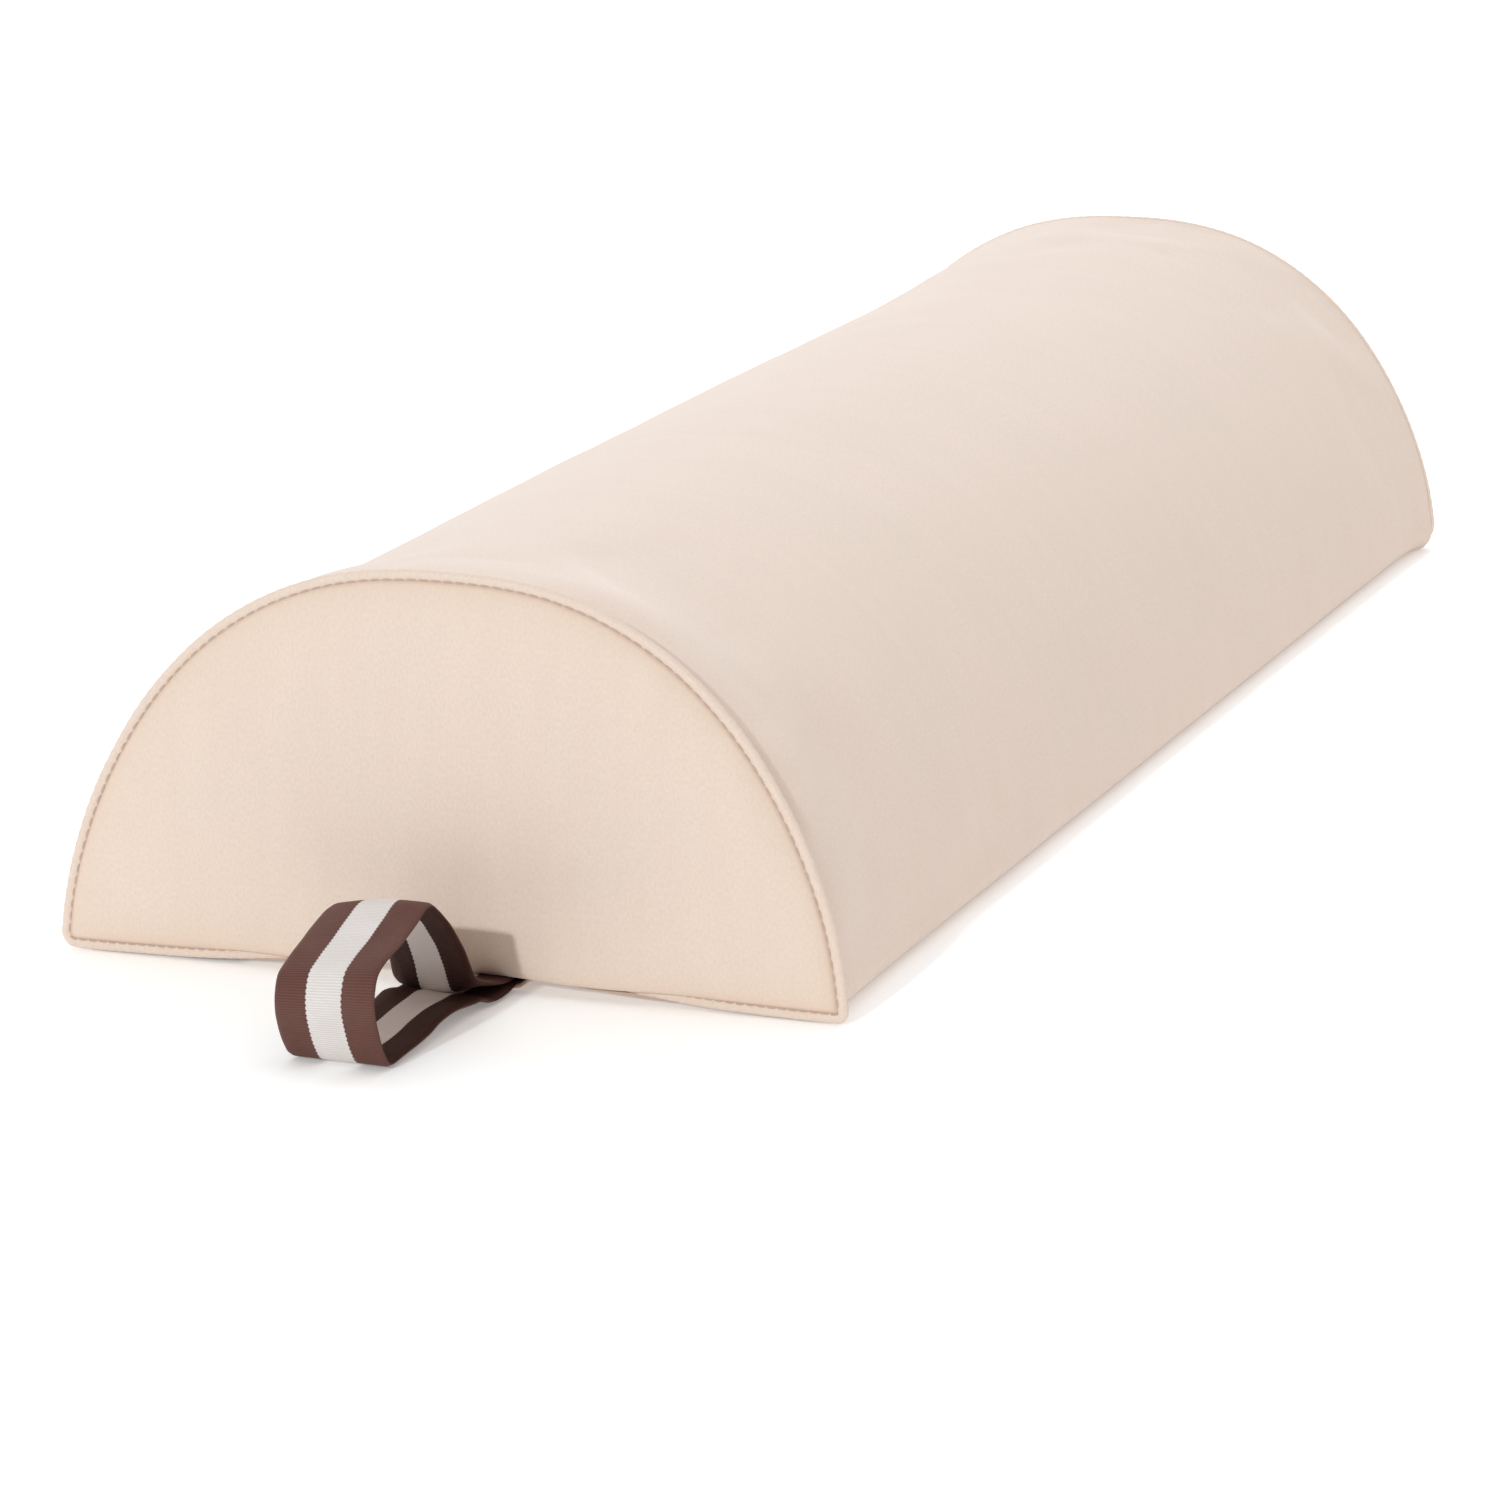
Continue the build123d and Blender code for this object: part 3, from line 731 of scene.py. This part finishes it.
def foam_block(material):
    """Foam inside the cover, relieved over the seams, the zip and the strap's tail."""
    inset = HALF - FOAM[1][1] + 0.9
    top = arch(inset, np.linspace(math.pi - 0.09, 0.09, 90))
    low, zip_low, zip_high = FOAM[0][2] + 0.3, FRONT_BASE[1][1] - 10, REAR_BASE[0][1] + 10
    ridge = top[-1, 1]
    base = [
        (top[-1, 0] - 2, ridge - 4), (REAR_BASE[1][1] - 14, 4.6), (zip_high, 4.8), (zip_high - 8, 8.4),
        (zip_low + 8, 8.4), (zip_low, 4.8), (zip_low - 5, low), (FRONT_BASE[0][1] + 16, low),
        (FRONT_BASE[0][1] + 12, 4.6), (top[0, 0] + 2, ridge - 4),
    ]
    corners = np.concatenate([top, base, top[:1]])
    count = 360
    section = at_distance(corners, np.linspace(0, along(corners)[-1], count + 1)[:-1])
    middle = section.mean(axis=0)
    x = graded(FOAM[0][0] + 1, FOAM[1][0] - 1, 1.5, 7, 40)
    ends = np.clip(1 - (FOAM[1][0] - 1 - np.abs(x)) / 5, 0, 1)
    shrink = 1 - 0.035 * ends ** 2
    grid = middle + (section - middle)[None] * shrink[:, None, None]
    grid *= 1 + 0.0012 * waves(91, x[:, None], np.arange(count)[None] * 1.0, (6, 20), 14)[..., None]
    beside = np.abs(grid[..., 0] - STRAP_Y)
    strap = (x < TAIL[1][0] + 4)[:, None] & (beside < STRAP_HALF + 3) & (grid[..., 1] < 6)
    grid[..., 1] = np.where(strap, 6.2, grid[..., 1])
    grid[..., 1] += lifted_by_strap(x[:, None], grid[..., 0]) * bell(grid[..., 1], 9)
    points = swept(x, grid)
    piece = make_mesh("foam_block", points, tube_faces(len(x), count), {"fabric": points / MM})
    return dress(piece, material, "foam", "foam_core", fill=1.0)


# ---- webbing

def webbing(material):
    """Webbing loop and its sewn tail as one ribbed band."""
    control = np.array(LOOP, float)
    dense = cubic(control, np.linspace(0, len(control) - 1, 1200))
    total = along(dense[:, :2])[-1]
    rows = int(total / RIB) * 5
    place = np.linspace(0, total, rows)
    route = np.stack([np.interp(place, along(dense[:, :2]), dense[:, k]) for k in range(6)], axis=1)
    across = np.linspace(-1, 1, 25)
    edge = np.sqrt(np.clip(1 - (np.abs(across) - 0.955).clip(0) ** 2 / 0.045 ** 2, 0.1, 1))
    out, up, lead, lift, shift, curl = (route[:, k, None] for k in range(6))
    u = out + lead * across
    resting = STRAP_PLY / 2 + 0.05 + np.where(place < total / 2, 1.5, 0)[:, None]
    above = up + lift * across + curl * across ** 2 - resting
    z = resting + (above + np.sqrt(above ** 2 + 0.4)) / 2
    y = STRAP_Y + shift - STRAP_HALF * across
    y = y + 0.10 * waves(101, place, place * 0, (9, 40), 9)[:, None]
    middle = np.stack([-END - u, np.broadcast_to(y, u.shape), z], axis=2)
    normal = unit(np.cross(np.gradient(middle, axis=0), np.gradient(middle, axis=1)))
    rib = 0.038 * np.cos(TAU * place / RIB)[:, None]
    half = (STRAP_PLY / 2) * edge[None] + rib * edge[None]
    cord = 0.012 * np.cos(TAU * across * STRAP_HALF / 0.55)[None]
    outer = middle + normal * (half + cord)[..., None]
    inner = middle - normal * (half + cord)[..., None]
    loop = np.concatenate([outer, inner[:, ::-1]], axis=1)
    loop[..., 2] = np.maximum(loop[..., 2], 0.03)
    sides = loop.shape[1]
    points = loop.reshape(-1, 3)
    band = flat_cloth(place, np.concatenate([across, across[::-1]]) * STRAP_HALF)
    # Painted shade: the outer face darkens towards the sewn root, and the whole inner face of the loop is
    # painted as shade.
    painted_root_shade = ROOT_SHADE * (1 - smooth((out - 5) / 12)).repeat(len(across), axis=1)
    painted_shade = np.concatenate([painted_root_shade, np.ones_like(painted_root_shade)], axis=1).ravel()
    attributes = {"band": band, "painted_shade": painted_shade}
    piece = make_mesh("strap_webbing", points, tube_faces(rows, sides), attributes)
    dress(piece, material, "striped_webbing", "carry_strap", "strap_tail", body=None)
    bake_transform(piece)
    return piece


# ---- zip

def zip_tape(edge, outer, material):
    """Woven tape: rippled between its stitches, with a thicker bead by the teeth."""
    node = f"zip_tape_{edge}"
    low, high = box_mm(node)
    x = np.arange(low[0], high[0], 1.0)
    y = np.linspace(low[1], high[1], 33)
    share = (y - low[1]) / (high[1] - low[1])
    share = share if outer > 0 else 1 - share
    thick = (high[2] - low[2]) / 2 * (1 + 0.45 * bell(share, 0.07)) * (0.92 + 0.08 * np.cos(TAU * y / 1.1))
    ripple = 0.10 * waves(111 + outer, x, x * 0, (12, 60), 10)[:, None] * smooth(share / 0.4)[None]
    middle = (low[2] + high[2]) / 2 + ripple
    thinned = np.where((share < 0.01) | (share > 0.99), 0.3, 1.0)
    sides = 2 * len(y)
    heights = np.concatenate([middle + thick * thinned, (middle - thick * thinned)[:, ::-1]], axis=1)
    across = np.broadcast_to(np.concatenate([y, y[::-1]]), (len(x), sides))
    points = swept(x, np.stack([across, heights], axis=2))
    piece = make_mesh(f"zip_tape_woven_{edge}", points, tube_faces(len(x), sides), {"fabric": points / MM})
    return dress(piece, material, "zip_tape", node)


# Half of a tooth seen from above, across and along its shank, and its levels with their scale
TOOTH_PROFILE = [
    (0.34, 0.00), (0.60, 0.10), (0.66, 0.28), (0.52, 0.42),
    (0.46, 0.55), (0.60, 0.80), (0.55, 0.95), (0.36, 1.00),
]
TOOTH_LEVELS = [(-1.0, 0.72), (-0.82, 0.95), (0.0, 1.0), (0.82, 0.95), (1.0, 0.72)]
TOOTH_PITCH = 3.0


def zip_row(edge, outer, material):
    """Row of moulded teeth: each a rounded shank with a wider head towards the other row."""
    node = f"zip_teeth_{edge}"
    low, high = box_mm(node)
    right = np.array(TOOTH_PROFILE)
    ring = np.concatenate([right, (right * [-1, 1])[::-1]]) - [0, 0.5]
    width = high[1] - low[1]
    half_height = (high[2] - low[2]) / 2
    middle = (high[2] + low[2]) / 2
    sides = len(ring)
    layers = [(ring * scale, np.full(sides, level * half_height)) for level, scale in TOOTH_LEVELS]
    one = np.concatenate([np.column_stack(layer) for layer in layers])
    one[:, 1] *= width * outer
    faces = tube_faces(len(TOOTH_LEVELS), sides)
    count = int((high[0] - low[0]) / TOOTH_PITCH) + 1
    centres = np.linspace(low[0] + 0.65, high[0] - 0.65, count)
    points = np.concatenate([one + [c, (low[1] + high[1]) / 2, middle] for c in centres])
    every = [[i + n * len(one) for i in f] for n in range(count) for f in faces]
    piece = make_mesh(f"zip_row_{edge}", points, every, {"fabric": points / MM})
    return dress(piece, material, "zip_teeth", node)


# ---- materials

SOCKET = bpy.types.NodeSocket


def new_material(name, looks, *colours):
    """Material whose Principled shader takes the inputs that looks(tree, *colours) gives."""
    material = bpy.data.materials.new(name)
    material.use_nodes = True
    tree = material.node_tree
    tree.nodes.clear()
    output = tree.nodes.new("ShaderNodeOutputMaterial")
    surface = tree.nodes.new("ShaderNodeBsdfPrincipled")
    tree.links.new(surface.outputs[0], output.inputs[0])
    feed(surface, looks(tree, *colours))
    return material


def feed(node, inputs):
    """Set a node's inputs; each is a value or another node's socket."""
    for key, value in inputs.items():
        if isinstance(value, SOCKET):
            node.id_data.links.new(value, node.inputs[key])
        else:
            node.inputs[key].default_value = value


def add(kind, inputs, tree=None, **settings):
    """Node with its settings and inputs, in the tree that those come from."""
    tree = tree or next(value.id_data for value in inputs.values() if isinstance(value, SOCKET))
    node = adjust(tree.nodes.new("ShaderNode" + kind), **settings)
    feed(node, inputs)
    return node


def attribute(tree, name, output="Vector"):
    """A mesh attribute."""
    return add("Attribute", {}, tree, attribute_name=name).outputs[output]


def noise(vector, scale, detail=3.0, distortion=0.0):
    """Noise from 0 to 1; scale is per metre."""
    inputs = {"Vector": vector, "Scale": scale, "Detail": detail, "Distortion": distortion}
    return add("TexNoise", inputs).outputs["Fac"]


def axes(vector):
    """The first two axes of a vector."""
    return add("SeparateXYZ", {0: vector}).outputs[:2]


def math_node(operation, a, b=0.0):
    """Arithmetic on two values."""
    return add("Math", {0: a, 1: b}, operation=operation).outputs[0]


def times(a, b):
    """Product of two values."""
    return math_node("MULTIPLY", a, b)


def plus(a, b):
    """Sum of two values."""
    return math_node("ADD", a, b)


def remap(value, low, high, to_low, to_high):
    """Linear change of range, clamped."""
    inputs = {0: value, 1: low, 2: high, 3: to_low, 4: to_high}
    return add("MapRange", inputs).outputs[0]


def spread(value, low, high):
    """Noise, most of which lies between 0.3 and 0.7, spread over a range."""
    return remap(value, 0.3, 0.7, low, high)


def mix(factor, a, b):
    """Blend of two colours."""
    a, b = (value if isinstance(value, SOCKET) else (*value, 1) for value in (a, b))
    return add("Mix", {0: factor, 6: a, 7: b}, data_type="RGBA").outputs[2]


def stretch(vector, scale):
    """Vector multiplied by a scale on each axis."""
    return add("VectorMath", {0: vector, 1: scale}, operation="MULTIPLY").outputs[0]


def ripples(value, pitch):
    """Sine of a distance in metres, with the given pitch in metres."""
    return math_node("SINE", times(value, TAU / pitch))


def bump(height, distance, strength=1.0, normal=None):
    """Bump from a height; distance is in metres."""
    inputs = {"Height": height, "Distance": distance, "Strength": strength}
    if normal is not None:
        inputs["Normal"] = normal
    return add("Bump", inputs).outputs[0]


def vinyl(tree):
    """Soft cream vinyl with a faint woven emboss; along its seams it is rougher and carries painted shade,
    warmer and darker.
    """
    fabric = attribute(tree, "fabric")
    seam = attribute(tree, "seam", "Fac")
    run, around = axes(fabric)
    weave = times(ripples(run, 0.00058), ripples(around, 0.00058))
    cloud = noise(fabric, 16, 3)
    streak = noise(stretch(fabric, (1.0, 0.12, 1.0)), 160, 3)
    grain = noise(stretch(fabric, (1.0, 0.6, 1.0)), 1400, 2)
    colour = mix(spread(cloud, 0, 1), (0.812, 0.656, 0.548), (0.800, 0.664, 0.562))
    colour = mix(remap(streak, 0.35, 0.75, 0, 0.4), colour, (0.760, 0.610, 0.515))
    colour = mix(spread(grain, 0, 0.55), colour, (0.695, 0.550, 0.470))
    # Painted shade along the seams: a warm darker band beside them and a deep brown where the mask is
    # strongest, in the grooves.
    colour = mix(times(seam, 0.55), colour, (0.740, 0.560, 0.410))
    colour = mix(remap(seam, 0.7, 1.0, 0, 0.7), colour, (0.520, 0.350, 0.280))
    rough = plus(spread(cloud, 0.60, 0.68), times(seam, 0.08))
    fine = bump(weave, 0.00002, 0.5)
    fine = bump(grain, 0.00005, 0.6, fine)
    return {
        "Base Color": colour, "Roughness": rough, "Specular IOR Level": 0.5,
        "Sheen Weight": 0.25, "Sheen Roughness": 0.35, "Normal": bump(streak, 0.0001, 0.25, fine)}


def thread(tree, light, dark):
    """Twisted sewing thread."""
    fabric = attribute(tree, "fabric")
    run, around = axes(fabric)
    lean = plus(run, times(around, 0.6))
    shade = remap(ripples(lean, 0.00042), -1, 1, 0, 1)
    fuzz = noise(fabric, 3000, 2)
    colour = mix(shade, dark, light)
    colour = mix(spread(fuzz, 0, 0.35), colour, dark)
    return {
        "Base Color": colour, "Roughness": spread(fuzz, 0.5, 0.75), "Sheen Weight": 0.2,
        "Normal": bump(shade, 0.00006, 0.8)}


def striped_webbing(tree):
    """Ribbed webbing: brown, off-white and brown stripes with slightly serrated borders; painted shade
    darkens the hollows between the ribs, the inside of the loop and the sewn root.
    """
    band = attribute(tree, "band")
    run, around = axes(band)
    across = math_node("ABSOLUTE", around)
    teeth = times(ripples(run, 2 * RIB / MM), 0.00014)
    border = plus(across, teeth)
    white = remap(border, 0.0050, 0.0053, 1, 0)
    phase = plus(run, RIB / MM / 4)
    rib = remap(ripples(phase, RIB / MM), -1, 1, 0, 1)
    warp = remap(ripples(around, 0.00055), -1, 1, 0, 1)
    fibre = noise(stretch(band, (1.0, 3.0, 1.0)), 1400, 3)
    cloud = noise(band, 60, 2)
    # Painted shade between the ribs: both the brown and the off-white are darker in the hollows between
    # them.
    brown = mix(rib, (0.079, 0.029, 0.022), (0.134, 0.052, 0.040))
    brown = mix(spread(fibre, 0, 0.4), brown, (0.175, 0.076, 0.062))
    pale = mix(rib, (0.68, 0.625, 0.60), (0.83, 0.785, 0.765))
    pale = mix(remap(fibre, 0.35, 0.75, 0, 0.3), pale, (0.60, 0.56, 0.52))
    # Painted shade inside the loop and at the sewn root: the brown turns nearly black, the off-white darker
    # and warmer, with less cloud.
    painted_shade = attribute(tree, "painted_shade", "Fac")
    brown = mix(times(painted_shade, 0.85), brown, (0.032, 0.006, 0.002))
    pale = mix(times(painted_shade, 0.15), pale, (0.90, 0.60, 0.50))
    colour = mix(white, brown, pale)
    cloud = times(spread(cloud, 0, 0.12), remap(painted_shade, 0, 1, 1, 0.2))
    colour = mix(cloud, colour, (0.26, 0.18, 0.155))
    return {
        "Base Color": colour, "Roughness": spread(fibre, 0.55, 0.75), "Specular IOR Level": 0.15,
        "Sheen Weight": 0.04, "Sheen Roughness": 0.4,
        "Normal": bump(fibre, 0.00006, 0.6, bump(warp, 0.00006, 0.5))}


def woven_tape(tree):
    """Twill zip tape."""
    fabric = attribute(tree, "fabric")
    run, around = axes(fabric)
    slant = plus(run, around)
    twill = remap(ripples(slant, 0.0009), -1, 1, 0, 1)
    cross = remap(ripples(around, 0.0006), -1, 1, 0, 1)
    fibre = noise(fabric, 1800, 3)
    colour = mix(twill, (0.50, 0.41, 0.33), (0.68, 0.57, 0.47))
    colour = mix(spread(fibre, 0, 0.3), colour, (0.45, 0.36, 0.29))
    return {
        "Base Color": colour, "Roughness": spread(fibre, 0.7, 0.9), "Sheen Weight": 0.2,
        "Normal": bump(twill, 0.0001, 0.7, bump(cross, 0.00005, 0.5))}


def moulded_teeth(tree):
    """Moulded zip teeth."""
    place = add("TexCoord", {}, tree).outputs["Object"]
    cloud = noise(place, 300, 3)
    fine = noise(place, 4000, 2)
    colour = mix(spread(cloud, 0, 1), (0.66, 0.56, 0.46), (0.60, 0.49, 0.39))
    rough = spread(fine, 0.28, 0.42)
    return {"Base Color": colour, "Roughness": rough, "Normal": bump(fine, 0.00002, 0.4)}


def zip_metal(tree):
    """Plated zip metal, brushed along its length and worn along the edges."""
    place = add("TexCoord", {}, tree).outputs["Object"]
    brushed = noise(stretch(place, (0.08, 1.0, 1.0)), 5000, 3)
    cloud = noise(place, 350, 3)
    edge = add("NewGeometry", {}, tree).outputs["Pointiness"]
    worn = remap(edge, 0.52, 0.60, 0, 1)
    colour = mix(spread(cloud, 0, 1), (0.60, 0.58, 0.55), (0.50, 0.48, 0.45))
    colour = mix(worn, colour, (0.74, 0.70, 0.62))
    return {
        "Base Color": colour, "Metallic": 1.0, "Roughness": spread(brushed, 0.26, 0.42),
        "Normal": bump(brushed, 0.00002, 0.4)}


def foam(tree):
    """Open-cell foam."""
    place = attribute(tree, "fabric")
    cells = add("TexVoronoi", {"Vector": place, "Scale": 900.0}).outputs["Distance"]
    cloud = noise(place, 30, 3)
    colour = mix(remap(cells, 0.0, 0.7, 0, 1), (0.68, 0.585, 0.485), (0.83, 0.73, 0.62))
    colour = mix(spread(cloud, 0, 0.4), colour, (0.78, 0.67, 0.55))
    rough = remap(cells, 0.0, 0.7, 0.95, 0.85)
    return {"Base Color": colour, "Roughness": rough, "Normal": bump(cells, 0.0004, 0.7)}


def pale_floor(tree):
    """Plain pale studio floor."""
    place = add("TexCoord", {}, tree).outputs["Object"]
    cloud = noise(place, 3, 2)
    colour = mix(cloud, (0.925, 0.925, 0.925), (0.935, 0.935, 0.935))
    return {
        "Base Color": colour, "Roughness": 0.9, "Specular IOR Level": 0.1,
        "Emission Color": (1, 1, 1, 1), "Emission Strength": FLOOR_GLOW}


# ---- camera, floor and light

CAMERA_PLACE = (-1.8498, -0.6298, 0.4645)
CAMERA_YAW = math.radians(19.631)
CAMERA_PITCH = math.radians(13.635)
CAMERA_ROLL = math.radians(0.081)
CAMERA_LENS = 151.2
KEY_DIRECTION = (0.88, -0.086, -0.380)
KEY_STRENGTH = 1.46
KEY_COLOUR = (0.88, 0.955, 0.985)
KEY_ANGLE = math.radians(2.0)
SKY_LEVEL = 0.475
SKY_SLOPE = (0.56, 0.08, 0.62)  # the sky is brighter behind the object and overhead
SKY_WARM = (1.0, 0.942, 0.862)
SKY_COOL = (0.93, 0.99, 1.08)
SKY_LEAST = 0.02
BACK_DIRECTION = (0.915, 0.315, 0.25)  # of a broad glow behind the far end
BACK_GLOW = 0.68
BACK_FALL = 7.0  # how fast the glow falls off away from its middle
FLOOR_GLOW = 0.20
FLOOR_REACH = 30.0
FLOOR_GAP = 0.0003


def studio_camera():
    """Camera at the height and angle of a low three-quarter product shot."""
    data = bpy.data.cameras.new("camera")
    adjust(data, sensor_width=36, lens=CAMERA_LENS, clip_start=0.05, clip_end=100)
    camera = new_object("camera", data)
    turn = Matrix.Rotation(CAMERA_YAW - math.pi / 2, 4, "Z")
    turn = turn @ Matrix.Rotation(math.pi / 2 - CAMERA_PITCH, 4, "X") @ Matrix.Rotation(CAMERA_ROLL, 4, "Z")
    camera.matrix_world = Matrix.Translation(CAMERA_PLACE) @ turn
    bpy.context.scene.camera = camera


def studio_floor():
    """Floor under the object."""
    mesh = bpy.data.meshes.new("floor")
    corners = [(x * FLOOR_REACH, y * FLOOR_REACH, 0) for x, y in ((-1, -1), (1, -1), (1, 1), (-1, 1))]
    mesh.from_pydata(corners, [], [(0, 1, 2, 3)])
    floor = new_object("floor", mesh)
    floor.location.z = -FLOOR_GAP
    mesh.materials.append(new_material("floor", pale_floor))


def key_light():
    """Low key light from beyond the strap end."""
    data = bpy.data.lights.new("key", "SUN")
    adjust(data, energy=KEY_STRENGTH, angle=KEY_ANGLE, color=KEY_COLOUR)
    turn = Vector(KEY_DIRECTION).to_track_quat("-Z", "Y")
    adjust(new_object("key", data), rotation_mode="QUATERNION", rotation_quaternion=turn)


def studio_sky():
    """Pale sky, brighter overhead and behind the object, with a broad glow beyond its far end."""
    world = bpy.data.worlds.new("studio")
    bpy.context.scene.world = world
    world.use_nodes = True
    tree = world.node_tree
    tree.nodes.clear()
    output = tree.nodes.new("ShaderNodeOutputWorld")
    background = tree.nodes.new("ShaderNodeBackground")
    tree.links.new(background.outputs[0], output.inputs[0])
    direction = add("TexCoord", {}, tree).outputs["Generated"]
    slope, facing = (
        add("VectorMath", {0: direction, 1: towards}, operation="DOT_PRODUCT").outputs["Value"]
        for towards in (SKY_SLOPE, BACK_DIRECTION))
    strength = math_node("MAXIMUM", plus(slope, SKY_LEVEL), SKY_LEAST)
    glow = math_node("POWER", math_node("MAXIMUM", facing), BACK_FALL)
    strength = plus(strength, times(glow, BACK_GLOW))
    colour = mix(remap(slope, 0.22, 0.88, 0, 1), SKY_WARM, SKY_COOL)
    feed(background, {"Strength": strength, "Color": colour})
    bpy.context.scene.view_settings.view_transform = "Standard"


# ---- building

def build_threads():
    """Every visible row of stitches."""
    cream = new_material("cream_thread", thread, (0.60, 0.45, 0.37), (0.50, 0.36, 0.295))
    brown = new_material("brown_thread", thread, (0.17, 0.08, 0.065), (0.08, 0.035, 0.03))
    for end, side in ENDS.items():
        end_stitches(end, side, cream)
    for edge in EDGES:
        for row, node in (("long_stitches", "long_seam_thread"), ("zip_stitches", "zip_stitching")):
            node = f"{node}_{edge}"
            low, high = box_mm(node)
            x = np.arange(low[0] + LONG_STITCH[0] / 2, high[0], LONG_PITCH)
            y = np.full(len(x), (low[1] + high[1]) / 2)
            straight_stitches(f"{row}_{edge}", x, y, cream, "cream_thread", node)
    low, high = box_mm("strap_bartack")
    y = np.arange(low[1] + LONG_STITCH[1] / 2, high[1], LONG_PITCH)
    ends = low[0] + LONG_STITCH[0] / 2, high[0] - LONG_STITCH[0] / 2
    x = np.repeat(ends, len(y))
    straight_stitches("strap_stitches", x, np.tile(y, 2), brown, "brown_thread", "strap_bartack")


def build_zip():
    """Tapes and teeth; the slider, its pin, the pull and the stops keep their CAD shapes."""
    tape = new_material("zip_tape", woven_tape)
    teeth = new_material("zip_teeth", moulded_teeth)
    metal = new_material("zip_metal", zip_metal)
    for edge, outer in EDGES.items():
        zip_tape(edge, outer, tape)
        zip_row(edge, outer, teeth)
    for node in ("zip_slider", "pull_pin", "zip_pull", "zip_stop_closed_end", "zip_stop_open_end"):
        paint(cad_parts[node], metal)


def build():
    """Everything in the scene."""
    studio_camera()
    studio_floor()
    key_light()
    studio_sky()
    cream = new_material("cream_vinyl", vinyl)
    barrel_cover(cream)
    for shape, places in ((end_cover, ENDS), (end_lip, ENDS), (base_cover, EDGES)):
        for place, side in places.items():
            shape(place, side, cream)
    foam_block(new_material("foam", foam))
    webbing(new_material("striped_webbing", striped_webbing))
    build_threads()
    build_zip()


build()
